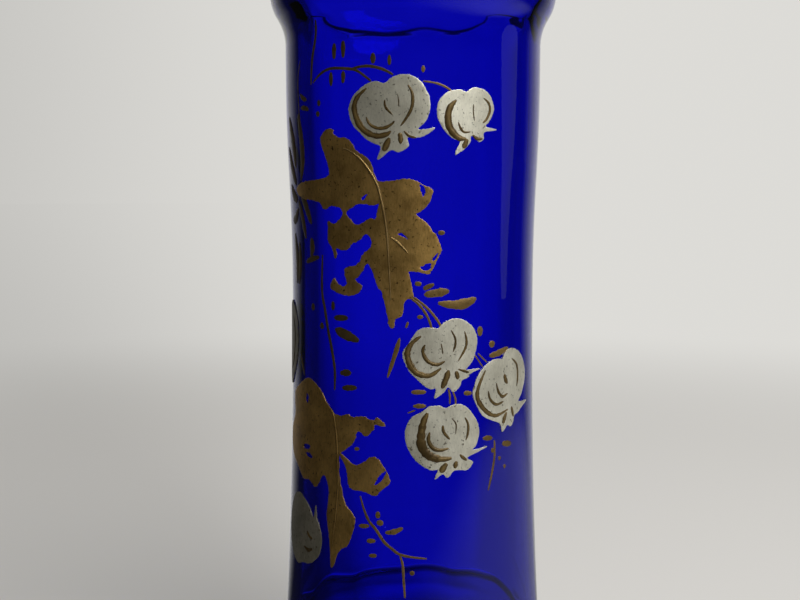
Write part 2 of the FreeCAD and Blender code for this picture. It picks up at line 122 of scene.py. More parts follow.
inner = [SEAT_TOP, SEAT_MIDDLE, SEAT_BOTTOM, (SEAT_BOTTOM[0], 216.0), inside(NECK_FOOT)]
inner += ogee(NECK_FOOT, SHOULDER, WALL, 12)
inner += ogee(SHOULDER, COLLAR, WALL, 8)
inner += [inside((COLLAR[0], 162.0)), inside(BARREL_TOP)]
inner += ogee(BARREL_TOP, WAIST, WALL, 8)
inner += bend(inside(WAIST), inside(BARREL_FOOT), "start", 24)
inner += ogee(BARREL_FOOT, FOOT, WALL, 8)
inner += bend(inside(FOOT), INNER_FLOOR_RIM, "start", 10)
inner += dome(*INNER_FLOOR_RIM, INNER_FLOOR_TOP, 10)[-2::-1]


def between(high, low, height):
    """The radius at a height on the straight line between two places."""
    return high[0] + (low[0] - high[0]) * (high[1] - height) / (high[1] - low[1])


def crease(line, height, depth, width):
    """A line down the inside of the wall with a sharp fold let into it at one height."""
    above = [place for place in line if place[1] > height + width]
    below = [place for place in line if place[1] < height - width]
    fold = []
    for step, sunk in ((0.5, 0.0), (0.0, depth), (-0.5, 0.0)):
        level = height + step * width
        fold.append((between(above[-1], below[0], level) + sunk, level))
    return above + fold + below


SHOULDER_FOLD = (172.0, 1.3, 1.0)
FOOT_FOLD = (25.2, 1.4, 1.2)
for fold_height, fold_depth, fold_width in (SHOULDER_FOLD, FOOT_FOLD):
    inner = crease(inner, fold_height, fold_depth, fold_width)
section += inner[1:]


def glass_radius(height):
    """The radius of the outside of the glass, between the foot and the shoulder."""
    for low, high in zip(outer_wall, outer_wall[1:]):
        if low[1] <= height <= high[1]:
            return between(high, low, height)


def turn_on_axis(name, half_section, steps):
    """A piece turned round its axis from half a section that starts and ends on it."""
    bpy.ops.object.select_all(action="DESELECT")
    bpy.ops.mesh.primitive_plane_add(size=MM, location=(0, 0, 0))
    piece = bpy.context.object
    piece.name = name
    bpy.ops.object.mode_set(mode="EDIT")
    bpy.ops.mesh.merge(type="CENTER")
    bpy.ops.transform.translate(value=(half_section[0][0] * MM, 0, half_section[0][1] * MM))
    for here, there in zip(half_section, half_section[1:]):
        way = ((there[0] - here[0]) * MM, 0, (there[1] - here[1]) * MM)
        bpy.ops.mesh.extrude_region_move(TRANSFORM_OT_translate={"value": way})
    bpy.ops.mesh.select_all(action="SELECT")
    bpy.ops.mesh.spin(steps=steps, angle=2 * math.pi, center=(0, 0, 0), axis=(0, 0, 1))
    bpy.ops.mesh.select_all(action="SELECT")
    bpy.ops.mesh.remove_doubles(threshold=0.01 * MM)
    bpy.ops.mesh.normals_make_consistent(inside=False)
    bpy.ops.object.mode_set(mode="OBJECT")
    bpy.ops.object.shade_smooth()
    return piece


UPRIGHT_RIPPLE = 0.10
LONG_RIPPLE = 0.08
FOLD_WAVE = 2.4
WAVE_SHIFT = Vector((3, 1, 0))


def off_round(height, way):
    """How far the blowing left the inside off its true radius. The folds fade out at the front."""
    ripple = UPRIGHT_RIPPLE * noise.noise(way * 5)
    ripple += LONG_RIPPLE * noise.noise(way * 2 + Vector((0, 0, height / 25)))
    for fold_height, fold_depth, fold_width in (SHOULDER_FOLD, FOOT_FOLD):
        if abs(height - fold_height) < 0.01:
            ripple -= fold_depth * min(1, max(0, 0.3 - way.y) / 0.6)
    return ripple


bottle = turn_on_axis("blue_glass_bottle", section, 192)
for vertex in bottle.data.vertices:
    radius = math.hypot(vertex.co.x, vertex.co.y)
    height = vertex.co.z / MM
    if FOOT[1] < height < SHOULDER[1] and radius / MM < glass_radius(height) - WALL / 2:
        way = Vector((vertex.co.x, vertex.co.y, 0)) / radius
        ripple = off_round(height, way)
        vertex.co.x += way.x * ripple * MM
        vertex.co.y += way.y * ripple * MM
        near_ends = min(1, abs(height - WAIST[1]) / 60) ** 4
        vertex.co.z += FOLD_WAVE * near_ends * noise.noise(way * 2.4 + WAVE_SHIFT) * MM

cobalt = bpy.data.materials.new("cobalt_glass")
cobalt.use_nodes = True
cobalt_nodes = cobalt.node_tree.nodes
cobalt_links = cobalt.node_tree.links
cobalt_shader = cobalt_nodes["Principled BSDF"]
cobalt_shader.inputs["Base Color"].default_value = (1.0, 1.0, 1.0, 1.0)
cobalt_shader.inputs["Transmission Weight"].default_value = 1.0
cobalt_shader.inputs["Roughness"].default_value = 0.0
cobalt_shader.inputs["IOR"].default_value = 1.5
cobalt_depth = cobalt_nodes.new("ShaderNodeVolumeAbsorption")
cobalt_depth.inputs["Color"].default_value = (0.0, 0.0, 0.91, 1.0)
cobalt_depth.inputs["Density"].default_value = 1000.0
cobalt_links.new(cobalt_depth.outputs["Volume"], cobalt_nodes["Material Output"].inputs["Volume"])
bottle.data.materials.append(cobalt)
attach(bottle, "bottle")
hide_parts("glass_bottle")

# Glass stopper
# Solid glass of the same blue: a ground peg that fits the neck, a collar over the lip,
# a slim stem and a pointed ball to lift it by.
PEG_FOOT = 219.3
PEG_TOP = (9.55, 241.3)
STOPPER_COLLAR_UNDER = 250.7
STOPPER_COLLAR_EDGE = (15.1, 252.3)
STOPPER_COLLAR_TOP = (14.2, 253.9)
STEM = (6.4, 262.9)
BALL = (14.6, 277.4)
TIP = (2.6, 293.9)
TIP_TOP = 296.27
stopper_section = [(0.0, PEG_FOOT), (4.0, PEG_FOOT), (7.85, PEG_FOOT), (8.65, 220.1), (9.1, 230.7), PEG_TOP]
stopper_section += [(radius, STOPPER_COLLAR_UNDER) for radius in (PEG_TOP[0], 12.0, 14.2)]
stopper_section += [(14.9, 251.4), STOPPER_COLLAR_EDGE, (14.9, 253.2), STOPPER_COLLAR_TOP]
stopper_section += ogee(STOPPER_COLLAR_TOP, STEM, 0.0, 10)
stopper_section += ogee(STEM, BALL, 0.0, 12)
stopper_section += ogee(BALL, TIP, 0.0, 12)
stopper_section += dome(*TIP, TIP_TOP, 6)[-2::-1]
stopper = turn_on_axis("blue_glass_stopper", stopper_section, 128)
stopper.data.materials.append(cobalt)
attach(stopper, "stopper")
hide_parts("glass_stopper")

# Gilt leaves
# Two big lobed leaves in matt gold, brushed on and fired. The gold is worn, so their edges are
# ragged and flakes are gone. Paint that the photograph shows is given by its pixels there, and
# paint out of its sight by millimetres round the glass from its front, and height.
ROUND_RADIUS = 30.0
CAMERA_BACK = 290.0
CAMERA_HEIGHT = 134.3
CAMERA_TILT = math.radians(6.0)
LENS = 52.45
SENSOR = 36.0
PHOTO_WIDTH = 800
MIDDLE_ROW = 300
AXIS_COLUMN = 411.5
AXIS_LEAN = 1 / 300
FOCUS = PHOTO_WIDTH * LENS / SENSOR
SEEN_WAIST = 29.83


def seen_radius(height):
    """The plain barrel that picks are laid on: an arc up to the waist, then an easing to the top."""
    if height <= WAIST[1]:
        rise = WAIST[1] - BARREL_FOOT[1]
        flare = BARREL_FOOT[0] - SEEN_WAIST
        bow = (rise ** 2 + flare ** 2) / (2 * flare)
        drop = min(rise, WAIST[1] - height)
        return SEEN_WAIST + bow - math.sqrt(bow ** 2 - drop ** 2)
    share = min(1, (height - WAIST[1]) / (BARREL_TOP[1] - WAIST[1]))
    return SEEN_WAIST + (BARREL_TOP[0] - SEEN_WAIST) * (3 * share ** 2 - 2 * share ** 3)


def on_glass(pick):
    """The place that a pixel of the photograph shows, to 0.1 mm, from the camera's place and lens."""
    column, row = pick
    across = (column - AXIS_COLUMN - AXIS_LEAN * row) / FOCUS
    down = (row - MIDDLE_ROW) / FOCUS
    ahead = math.cos(CAMERA_TILT) - down * math.sin(CAMERA_TILT)
    fall = math.sin(CAMERA_TILT) + down * math.cos(CAMERA_TILT)
    flat = across ** 2 + ahead ** 2
    radius = ROUND_RADIUS
    for _ in range(20):
        spare = (CAMERA_BACK * ahead) ** 2 - flat * (CAMERA_BACK ** 2 - radius ** 2)
        reach = (CAMERA_BACK * ahead - math.sqrt(max(0, spare))) / flat
        height = CAMERA_HEIGHT - reach * fall
        radius = seen_radius(height)
    angle = math.atan2(reach * across, CAMERA_BACK - reach * ahead)
    hundredths = (round(ROUND_RADIUS * angle, 2), round(height, 2))
    return (round(hundredths[0], 1), round(hundredths[1], 1))


def seen(picks):
    return [on_glass(pick) for pick in picks]


def seen_strokes(strokes):
    return [(width, seen(picks)) for width, picks in strokes]


def smooth_line(points, closed, parts):
    """A smooth line through the given points, each stretch of it cut into parts."""
    knots = [Vector((x, y, 0)) for x, y in points]
    knots = [knots[-1]] + knots + knots[:2] if closed else [knots[0]] + knots + [knots[-1]]
    line = []
    for before, here, there, after in zip(knots, knots[1:], knots[2:], knots[3:]):
        leave = here + (there - before) / 6
        arrive = there - (after - here) / 6
        line += interpolate_bezier(here, leave, arrive, there, parts + 1)[:-1]
    return line if closed else line + [knots[-1]]


def add_line(curve, line, closed, radii):
    spline = curve.splines.new("POLY")
    spline.points.add(len(line) - 1)
    for knot, place, radius in zip(spline.points, line, radii):
        knot.co = (place.x * MM, place.y * MM, 0, 1)
        knot.radius = radius
    spline.use_cyclic_u = closed


def curve_to_mesh(curve):
    piece = bpy.data.objects.new("paint", curve)
    bpy.context.scene.collection.objects.link(piece)
    bpy.ops.object.select_all(action="DESELECT")
    piece.select_set(True)
    bpy.context.view_layer.objects.active = piece
    bpy.ops.object.convert(target="MESH")
    piece = bpy.context.object
    bpy.ops.object.mode_set(mode="EDIT")
    bpy.ops.mesh.select_all(action="SELECT")
    bpy.ops.mesh.remove_doubles(threshold=0.004 * MM)
    bpy.ops.mesh.normals_make_consistent(inside=False)
    bpy.ops.object.mode_set(mode="OBJECT")
    return piece


def lay_on_glass(piece, lift, flatten):
    """Wraps a flat piece of paint round the glass, lift above it."""
    for vertex in piece.data.vertices:
        angle = vertex.co.x / MM / ROUND_RADIUS
        height = vertex.co.y / MM
        radius = glass_radius(height) + lift + max(vertex.co.z / MM, 0) * flatten
        vertex.co = (radius * math.sin(angle) * MM, -radius * math.cos(angle) * MM, height * MM)
    bpy.ops.object.shade_smooth_by_angle(angle=math.radians(35))


PAINT_LIFT = 0.03
PAINT_THICK = 0.22
PAINT_EDGE = 0.04
LONGEST_FACET = 0.8
COARSE_WEAR = (1.0, 1.9)
FINE_WEAR = (0.6, 5.3)
SECOND_NOISE = Vector((31.4, 17.7, 5.5))


def wander(place):
    """A sideways shift that changes smoothly from place to place."""
    return Vector((noise.noise(place), noise.noise(place + SECOND_NOISE), 0))


def paint_area(outline, gaps, material, wear):
    """A patch of paint with a worn edge and gaps in it, cut into strips so that it can bend."""
    curve = bpy.data.curves.new("paint", "CURVE")
    curve.dimensions = "2D"
    curve.fill_mode = "BOTH"
    curve.extrude = (PAINT_THICK - PAINT_EDGE) * MM
    curve.bevel_depth = PAINT_EDGE * MM
    curve.bevel_resolution = 1
    for ring in [outline] + gaps:
        line = smooth_line(ring, True, 8)
        for share, scale in (COARSE_WEAR, FINE_WEAR):
            line = [place + share * wear * wander(place * scale) for place in line]
        add_line(curve, line, True, [1.0] * len(line))
    piece = curve_to_mesh(curve)
    reach = [vertex.co.x for vertex in piece.data.vertices]
    bpy.ops.object.mode_set(mode="EDIT")
    cuts = int((max(reach) - min(reach)) / (LONGEST_FACET * MM))
    for cut in range(1, cuts):
        place = min(reach) + (max(reach) - min(reach)) * cut / cuts
        bpy.ops.mesh.select_all(action="SELECT")
        bpy.ops.mesh.bisect(plane_co=(place, 0, 0), plane_no=(1, 0, 0))
    bpy.ops.object.mode_set(mode="OBJECT")
    lay_on_glass(piece, PAINT_LIFT, 1.0)
    piece.data.materials.append(material)
    return piece


THINNEST_TIP = 0.06
HAND_SHAKE = 0.25


def paint_strokes(strokes, material, lift, rise, blunt):
    """Brush strokes of the given widths, low or raised, with tapered ends."""
    curve = bpy.data.curves.new("paint", "CURVE")
    curve.dimensions = "3D"
    curve.fill_mode = "FULL"
    curve.bevel_depth = 0.5 * MM
    curve.bevel_resolution = 2
    curve.use_fill_caps = True
    for width, points in strokes:
        line = smooth_line(points, False, 8)
        shares = [step / (len(line) - 1) for step in range(len(line))]
        swell = [max(THINNEST_TIP, math.sin(math.pi * share)) ** blunt for share in shares]
        shake = [1 + HAND_SHAKE * noise.noise(place * 1.3) for place in line]
        add_line(curve, line, False, [width * a * b for a, b in zip(swell, shake)])
    piece = curve_to_mesh(curve)
    lay_on_glass(piece, lift, rise)
    piece.data.materials.append(material)
    return piece


def one_piece(name, parts):
    bpy.ops.object.select_all(action="DESELECT")
    for part in parts:
        part.select_set(True)
    bpy.context.view_layer.objects.active = parts[0]
    if len(parts) > 1:
        bpy.ops.object.join()
    parts[0].name = name
    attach(parts[0], "bottle")
    return parts[0]


def fired_paint(name, dark, light, pit, metallic, roughness):
    """Fired metal paint: cloudy and brushed, with dark pits where it is worn."""
    material = bpy.data.materials.new(name)
    material.use_nodes = True
    nodes = material.node_tree.nodes
    links = material.node_tree.links
    shader = nodes["Principled BSDF"]
    shader.inputs["Metallic"].default_value = metallic
    place = nodes.new("ShaderNodeTexCoord")
    stretch = nodes.new("ShaderNodeMapping")
    stretch.inputs["Rotation"].default_value = (0.0, 0.6, 0.0)
    stretch.inputs["Scale"].default_value = (1.0, 1.0, 0.3)
    links.new(place.outputs["Object"], stretch.inputs["Vector"])

    def grain(source, scale, detail):
        texture = nodes.new("ShaderNodeTexNoise")
        texture.inputs["Scale"].default_value = scale
        texture.inputs["Detail"].default_value = detail
        texture.inputs["Roughness"].default_value = 0.65
        links.new(source, texture.inputs["Vector"])
        return texture.outputs["Fac"]

    clouds = grain(place.outputs["Object"], scale=180.0, detail=6.0)
    streaks = grain(stretch.outputs["Vector"], scale=2600.0, detail=4.0)
    specks = grain(place.outputs["Object"], scale=1300.0, detail=2.0)
    blend = nodes.new("ShaderNodeMix")
    blend.inputs["Factor"].default_value = 0.4
    links.new(clouds, blend.inputs["A"])
    links.new(streaks, blend.inputs["B"])
    tone = nodes.new("ShaderNodeValToRGB")
    tone.color_ramp.elements[0].position = 0.38
    tone.color_ramp.elements[0].color = dark
    tone.color_ramp.elements[1].position = 0.62
    tone.color_ramp.elements[1].color = light
    links.new(blend.outputs["Result"], tone.inputs["Fac"])
    worn = nodes.new("ShaderNodeMapRange")
    worn.inputs["From Min"].default_value = 0.62
    worn.inputs["From Max"].default_value = 0.72
    links.new(specks, worn.inputs["Value"])
    pitted = nodes.new("ShaderNodeMix")
    pitted.data_type = "RGBA"
    pitted.inputs["B"].default_value = pit
    links.new(worn.outputs["Result"], pitted.inputs["Factor"])
    links.new(tone.outputs["Color"], pitted.inputs["A"])
    links.new(pitted.outputs["Result"], shader.inputs["Base Color"])
    shine = nodes.new("ShaderNodeMapRange")
    shine.inputs["To Min"].default_value = roughness - 0.12
    shine.inputs["To Max"].default_value = roughness + 0.12
    links.new(clouds, shine.inputs["Value"])
    links.new(shine.outputs["Result"], shader.inputs["Roughness"])
    bump = nodes.new("ShaderNodeBump")
    bump.inputs["Strength"].default_value = 0.5
    bump.inputs["Distance"].default_value = 0.1 * MM
    links.new(blend.outputs["Result"], bump.inputs["Height"])
    links.new(bump.outputs["Normal"], shader.inputs["Normal"])
    return material


BROWN_PIT = (0.06, 0.035, 0.01, 1)
gilt = fired_paint(
    "worn_gilt",
    dark=(0.41, 0.245, 0.068, 1),
    light=(0.72, 0.45, 0.14, 1),
    pit=BROWN_PIT,
    metallic=0.92,
    roughness=0.47,
)
vein_gilt = fired_paint(
    "vein_gilt",
    dark=(0.05, 0.030, 0.008, 1),
    light=(0.11, 0.068, 0.020, 1),
    pit=BROWN_PIT,
    metallic=0.6,
    roughness=0.45,
)
bright_gilt = fired_paint(
    "bright_gilt",
    dark=(0.40, 0.25, 0.08, 1),
    light=(0.62, 0.43, 0.17, 1),
    pit=BROWN_PIT,
    metallic=0.85,
    roughness=0.45,
)

UPPER_LEAF_LEFT_END = [(-27.5, 133.5), (-31.5, 132.8), (-33.5, 131.2)]
UPPER_LEAF = seen([
    (326, 130), (320, 138), (323, 150), (329, 171), (324, 178),
]) + UPPER_LEAF_LEFT_END + seen([
    (303, 198), (313, 200), (320, 203), (324, 209), (331.8, 205.8), (340, 208), (342.5, 214.5), (335, 223.5),
    (328, 222), (328, 228), (328, 240), (332, 248), (335, 258), (337, 255), (336, 249), (343, 250),
    (348, 249), (351, 244), (356, 242), (361, 239), (363, 235), (367, 234), (371, 240), (370, 248),
    (362, 255), (360, 261), (355, 266), (350, 266), (345, 269), (345, 275), (347, 283), (343, 287),
    (337, 282), (334, 278), (331, 287), (335, 291), (341, 294), (347, 296), (354, 295), (360, 291),
    (362, 286), (355, 280), (358, 277), (362, 272), (365, 266), (368, 264), (372, 270), (375, 279),
    (378, 288), (381, 290), (384, 301), (386, 310), (388, 318), (389, 325), (392, 328), (395, 326),
    (395, 320), (400, 317), (403, 313), (404, 303), (408, 299), (413, 298), (412, 288), (410, 278),
    (409, 272), (415, 272), (422, 273), (428, 274), (431, 271), (434, 266), (438, 257), (441, 250),
    (437, 237), (432, 231), (426, 223), (416, 214), (421, 211), (426, 206), (430, 200), (432, 190),
    (425, 186), (413, 180), (405, 179), (395, 180), (378, 181), (372, 167), (368, 159), (362, 155),
    (355, 150), (350, 142), (345, 138), (338, 137), (333, 134), (332, 130),
])
UPPER_LEAF_GAPS = [
    seen([
        (346, 213), (352, 207), (360, 204), (374, 205), (378, 203), (377, 211), (375, 219), (369, 219),
        (357, 225), (348.5, 218),
    ]),
    seen([(361, 199), (363, 196), (367, 194), (365, 198), (362, 201)]),
    seen([(419, 184), (423, 186), (425, 192), (422, 197), (420, 190)]),
    seen([(397, 234), (401, 233), (405, 236), (408, 239), (404, 238), (400, 236)]),
    seen([(420, 268), (424, 265), (428, 263), (431, 264), (430, 268), (425, 271)]),
    seen([(432, 259), (435.5, 254.5), (438, 252.5), (437, 256), (433.5, 260.5)]),
]
UPPER_LEAF_VEINS = seen_strokes([
    (0.7, [(342, 148), (350, 151), (358, 157), (365, 165), (372, 175),
          (377, 185), (380, 195), (384, 215), (387, 235), (389, 265), (391, 300)]),
    (0.7, [(390, 237), (398, 243), (408, 253)]),
])
LOWER_LEAF_LEFT_END = [
    (-34.0, 65.0), (-38.5, 68.0), (-39.5, 73.0),
    (-36.5, 77.0), (-37.0, 82.0), (-34.0, 84.5),
]
LOWER_LEAF = seen([
    (305, 380), (310, 378), (318, 386), (323, 393), (327, 402), (331, 409), (336, 414), (342, 416),
    (348, 414), (353, 417), (363, 417), (373, 420), (378, 418), (386, 426), (376, 425), (374, 430),
    (367, 436), (360, 431), (357, 433), (356, 439), (352, 445), (343, 452), (340, 456), (341, 480),
    (345, 500), (348, 507), (354, 514), (356, 522), (352, 538), (348, 546), (340, 552), (333, 568),
    (331, 540), (328, 515), (330, 490), (325, 475), (317, 487), (311, 480), (305, 478),
]) + LOWER_LEAF_LEFT_END
LOWER_LEAF_GAPS = [
    seen([(305, 444), (311, 445), (310, 449), (305, 448)]),
    seen([(307, 393), (309.5, 396), (309, 403), (307, 401)]),
    seen([(307, 452), (311, 453), (314, 458), (309, 457)]),
]
LOWER_LEAF_LOBE = seen([
    (347, 467.8), (340, 452), (351.5, 462.5), (358, 465), (366, 461), (372, 457), (379, 459), (383, 465),
    (390, 478), (390, 484), (381, 491), (376, 496), (366, 492), (353, 489), (349, 483),
])
LOWER_LEAF_LOBE_GAPS = [seen([(375, 485), (378, 479), (382, 474), (387, 471), (386, 475), (380, 483)])]
LOWER_LEAF_VEINS = seen_strokes([
    (0.7, [(325, 400), (331, 408), (335, 416), (338, 440), (339, 458),
          (339.5, 487), (337, 517), (334, 546)]),
])
OVER_PAINT = PAINT_LIFT + PAINT_THICK - 0.02
CORE_LIFT = 0.1
CORE_SHARE = 0.55
WIDE_STROKE = 0.65
LEAF_WEAR = 0.18


def edged_strokes(strokes, edge, core, rise, blunt):
    """Strokes over other paint, dark along their edges, the wide ones lighter along the middle."""
    middles = [(CORE_SHARE * width, points) for width, points in strokes if width > WIDE_STROKE]
    return [
        paint_strokes(strokes, edge, OVER_PAINT, rise, blunt),
        paint_strokes(middles, core, OVER_PAINT + CORE_LIFT, rise + 0.05, blunt),
    ]


upper_leaf = one_piece("upper_gilt_leaf", [
    paint_area(UPPER_LEAF, UPPER_LEAF_GAPS, gilt, LEAF_WEAR),
    *edged_strokes(UPPER_LEAF_VEINS, vein_gilt, bright_gilt, rise=0.4, blunt=0.3),
])
lower_leaf = one_piece("lower_gilt_leaf", [
    paint_area(LOWER_LEAF, LOWER_LEAF_GAPS, gilt, LEAF_WEAR),
    paint_area(LOWER_LEAF_LOBE, LOWER_LEAF_LOBE_GAPS, gilt, LEAF_WEAR),
    *edged_strokes(LOWER_LEAF_VEINS, vein_gilt, gilt, rise=0.4, blunt=0.3),
])
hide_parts("upper_leaf")
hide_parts("lower_leaf")

# Silver fruits
# Round fruits in thick silver paint, each with a notch at its stem and a crown of sepals.
# Brown-gold strokes over the silver give them their shading.
FRUIT_WEAR = 0.09
GREY_PIT = (0.20, 0.18, 0.12, 1)
silver = fired_paint(
    "fired_silver",
    dark=(0.74, 0.71, 0.57, 1),
    light=(0.97, 0.94, 0.78, 1),
    pit=GREY_PIT,
    metallic=0.85,
    roughness=0.46,
)
# A darker copy of the silver for the two fruits at the left: painted shade on the side away from the lamp.
shaded_silver = fired_paint(
    "shaded_silver",
    dark=(0.16, 0.15, 0.11, 1),
    light=(0.26, 0.24, 0.19, 1),
    pit=BROWN_PIT,
    metallic=0.6,
    roughness=0.55,
)
umber = fired_paint(
    "shading_umber",
    dark=(0.05, 0.030, 0.007, 1),
    light=(0.11, 0.068, 0.017, 1),
    pit=BROWN_PIT,
    metallic=0.5,
    roughness=0.42,
)
light_umber = fired_paint(
    "light_umber",
    dark=(0.09, 0.058, 0.016, 1),
    light=(0.19, 0.125, 0.040, 1),
    pit=BROWN_PIT,
    metallic=0.5,
    roughness=0.42,
)

TOP_LEFT = seen([
    (384, 83), (375, 81), (366, 84), (358, 90), (352, 97), (349, 105), (348, 110), (350, 119),
    (354, 127), (360, 133), (366, 139), (373, 143), (380, 147), (377, 160), (390, 150), (398, 152),
    (408, 146), (407, 138), (415, 138), (425, 135), (434, 128), (425, 129), (417, 129), (423, 123),
    (427, 117), (429, 107), (428, 97), (425, 90), (421, 83), (415, 78), (409, 75), (403, 74),
    (396, 75), (390, 78),
])
TOP_LEFT_SHADING = seen_strokes([
    (1.5, [(366, 88), (357, 97), (354, 107), (356, 118), (361, 127),
          (368, 133), (377, 136), (386, 134), (390, 131)]),
    (0.8, [(366, 117), (369, 124), (376, 128), (384, 128), (391, 124),
          (394, 121)]),
    (0.6, [(384, 100), (385, 107), (392, 115)]),
    (0.3, [(397, 94), (398, 101), (398, 107)]),
    (0.8, [(407, 85), (411, 92), (412, 101), (410, 110), (405, 119),
          (400, 126)]),
    (1.5, [(389, 138), (386, 145), (383, 151)]),
    (1.2, [(399, 133), (400, 138), (400, 144)]),
    (0.6, [(403, 131), (408, 136), (415, 138)]),
])
TOP_RIGHT = seen([
    (465, 92), (460, 90), (455, 90), (449, 91), (443, 95), (438, 101), (436, 109), (437, 118),
    (440, 125), (444, 131), (450, 137), (456, 140), (460, 140), (454, 154), (461, 151), (467, 145),
    (469, 142), (470, 136), (474, 138), (478, 142), (482, 139), (483, 132), (495, 130), (484, 127),
    (487, 123), (490, 117), (492, 110), (491, 103), (489, 97), (485, 92), (480, 89), (474, 88),
    (469, 89),
])
TOP_RIGHT_SHADING = seen_strokes([
    (1.7, [(455, 100), (449, 107), (447, 115), (448, 125), (452, 133),
          (458, 138), (465, 139)]),
    (0.6, [(457, 122), (459, 128), (463, 132), (469, 132)]),
    (0.4, [(472, 104), (472, 112), (473, 121)]),
    (0.7, [(482, 98), (487, 104), (488, 111), (485, 119), (481, 123)]),
    (1.2, [(466, 139), (464, 144), (462, 148)]),
    (0.8, [(471, 135), (476, 139), (481, 139)]),
])
MIDDLE = seen([
    (438, 328), (432, 328), (425, 328), (419, 330), (414, 335), (409, 343), (404, 350), (403, 356),
    (406, 365), (411, 373), (417, 379), (424, 385), (431, 389), (436, 389), (435, 398), (443, 393),
    (448, 387), (452, 391), (455, 391), (460, 386), (462, 380), (468, 377), (471, 373), (480, 368),
    (466, 370), (470, 364), (474, 356), (477, 340), (473, 328), (468, 323), (461, 319), (453, 319),
    (446, 321), (441, 325),
])
MIDDLE_SHADING = seen_strokes([
    (1.5, [(421, 336), (412, 343), (408, 352), (409, 362), (415, 371),
          (423, 375), (431, 375), (441, 368)]),
    (1.0, [(425, 345), (423, 351), (426, 359), (431, 363), (438, 364),
          (445, 361)]),
    (0.4, [(441, 343), (442, 348), (443, 354)]),
    (0.6, [(451, 330), (455, 338), (455, 345), (453, 352)]),
    (0.7, [(464, 331), (466, 340), (465, 348), (458, 361)]),
    (1.5, [(449, 370), (446, 379), (442, 388)]),
    (1.1, [(456, 371), (457, 375), (458, 379)]),
    (0.6, [(458, 369), (464, 371), (469, 372)]),
])
RIGHT = seen([
    (502, 358.6), (496.5, 359), (491, 361), (484, 367), (478, 375), (474, 387),
    (473, 395), (477, 406), (482.5, 415), (491, 420), (500, 423.5), (502, 431.5),
    (507, 424.5), (510, 426), (512.6, 421.7), (514, 414.7), (518, 411), (521, 406),
    (525.5, 399.3), (518, 401), (521, 392), (523.5, 381), (524, 370), (522, 358.6),
    (518, 351), (512, 347.6), (507, 349.5), (503.5, 354.4),
])
RIGHT_SHADING = seen_strokes([
    (1.2, [(485, 370), (479, 384), (477, 395), (480, 404), (487, 412),
          (496, 415), (507, 409)]),
    (0.8, [(488, 391), (490, 399), (496, 404), (503, 401)]),
    (0.8, [(496, 383), (498, 391), (502, 396), (507, 393)]),
    (1.2, [(504, 374), (505, 379), (507, 383)]),
    (0.8, [(511, 358), (516, 364), (517, 375), (516, 386)]),
    (1.3, [(506, 412), (504, 418), (503, 423)]),
    (1.0, [(511, 406), (512, 411), (513, 416)]),
])
BOTTOM = seen([
    (446, 408), (441, 406), (435, 406), (429, 407), (422, 412), (414, 416), (409, 422), (406, 430),
    (406, 439), (408, 447), (412, 455), (418, 462), (425, 467), (432, 470), (438, 470), (435, 479),
    (443, 474), (448, 477), (455, 470), (463, 470), (468, 469), (473, 462), (468, 457), (487, 446),
    (473, 450), (476, 445), (478, 438), (479, 430), (477, 421), (473, 414), (468, 408), (463, 405),
    (458, 404), (452, 405),
])
BOTTOM_SHADING = seen_strokes([
    (2.2, [(428, 413), (424, 422), (422, 433), (422, 444), (426, 452),
          (433, 457), (442, 459), (452, 458)]),
    (1.1, [(430, 432), (429, 440), (433, 447), (440, 450), (449, 448)]),
    (0.8, [(443, 425), (444, 432), (450, 439)]),
    (0.4, [(452, 418), (456, 424), (456, 434)]),
    (0.7, [(465, 417), (468, 424), (468, 433), (466, 440)]),
    (1.5, [(447, 463), (444, 468), (441, 472)]),
    (1.2, [(457, 461), (456, 464), (455, 468)]),
    (0.8, [(460, 454), (463, 457), (467, 460)]),
])
LOWER_LEFT_END = [(-32.5, 41.2), (-36.0, 43.0), (-38.5, 47.0), (-38.5, 52.5), (-36.0, 57.0), (-33.0, 58.5)]
LOWER_LEFT = seen([
    (305, 497), (311, 508), (315, 518), (317, 506), (318, 518), (322, 531), (323, 543), (320, 556),
    (312, 563), (304, 562),
]) + LOWER_LEFT_END
LOWER_LEFT_SHADING = seen_strokes([
    (0.8, [(309, 531), (311, 536), (314, 539)]),
    (1.0, [(306, 546), (310, 550), (314, 549)]),
])
FAR_LEFT = [
    (-44.0, 103.0), (-40.0, 104.5), (-36.5, 101.5), (-35.0, 96.5), (-36.0, 90.5), (-38.5, 86.5),
    (-41.0, 84.0), (-43.5, 86.0), (-47.0, 87.0), (-50.5, 90.5), (-51.5, 96.0), (-49.5, 101.5),
]
FAR_LEFT_SHADING = [(0.7, [(-38.5, 101.0), (-37.0, 96.0), (-38.5, 90.0), (-41.5, 87.5)])]
FRUITS = {
    "top_left_fruit": (TOP_LEFT, TOP_LEFT_SHADING, silver, light_umber),
    "top_right_fruit": (TOP_RIGHT, TOP_RIGHT_SHADING, silver, light_umber),
    "middle_fruit": (MIDDLE, MIDDLE_SHADING, silver, light_umber),
    "right_fruit": (RIGHT, RIGHT_SHADING, silver, light_umber),
    "bottom_fruit": (BOTTOM, BOTTOM_SHADING, silver, light_umber),
    # The two fruits at the left take the shaded silver and the dark umber core down their strokes: painted
    # shade.
    "lower_left_fruit": (LOWER_LEFT, LOWER_LEFT_SHADING, shaded_silver, umber),
    "far_left_fruit": (FAR_LEFT, FAR_LEFT_SHADING, shaded_silver, umber),
}
for node, (outline, shading, paint, core) in FRUITS.items():
    fruit = one_piece("silver_" + node, [
        paint_area(outline, [], paint, FRUIT_WEAR),
        *edged_strokes(shading, umber, core, rise=0.3, blunt=0.4),
    ])
    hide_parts(node)
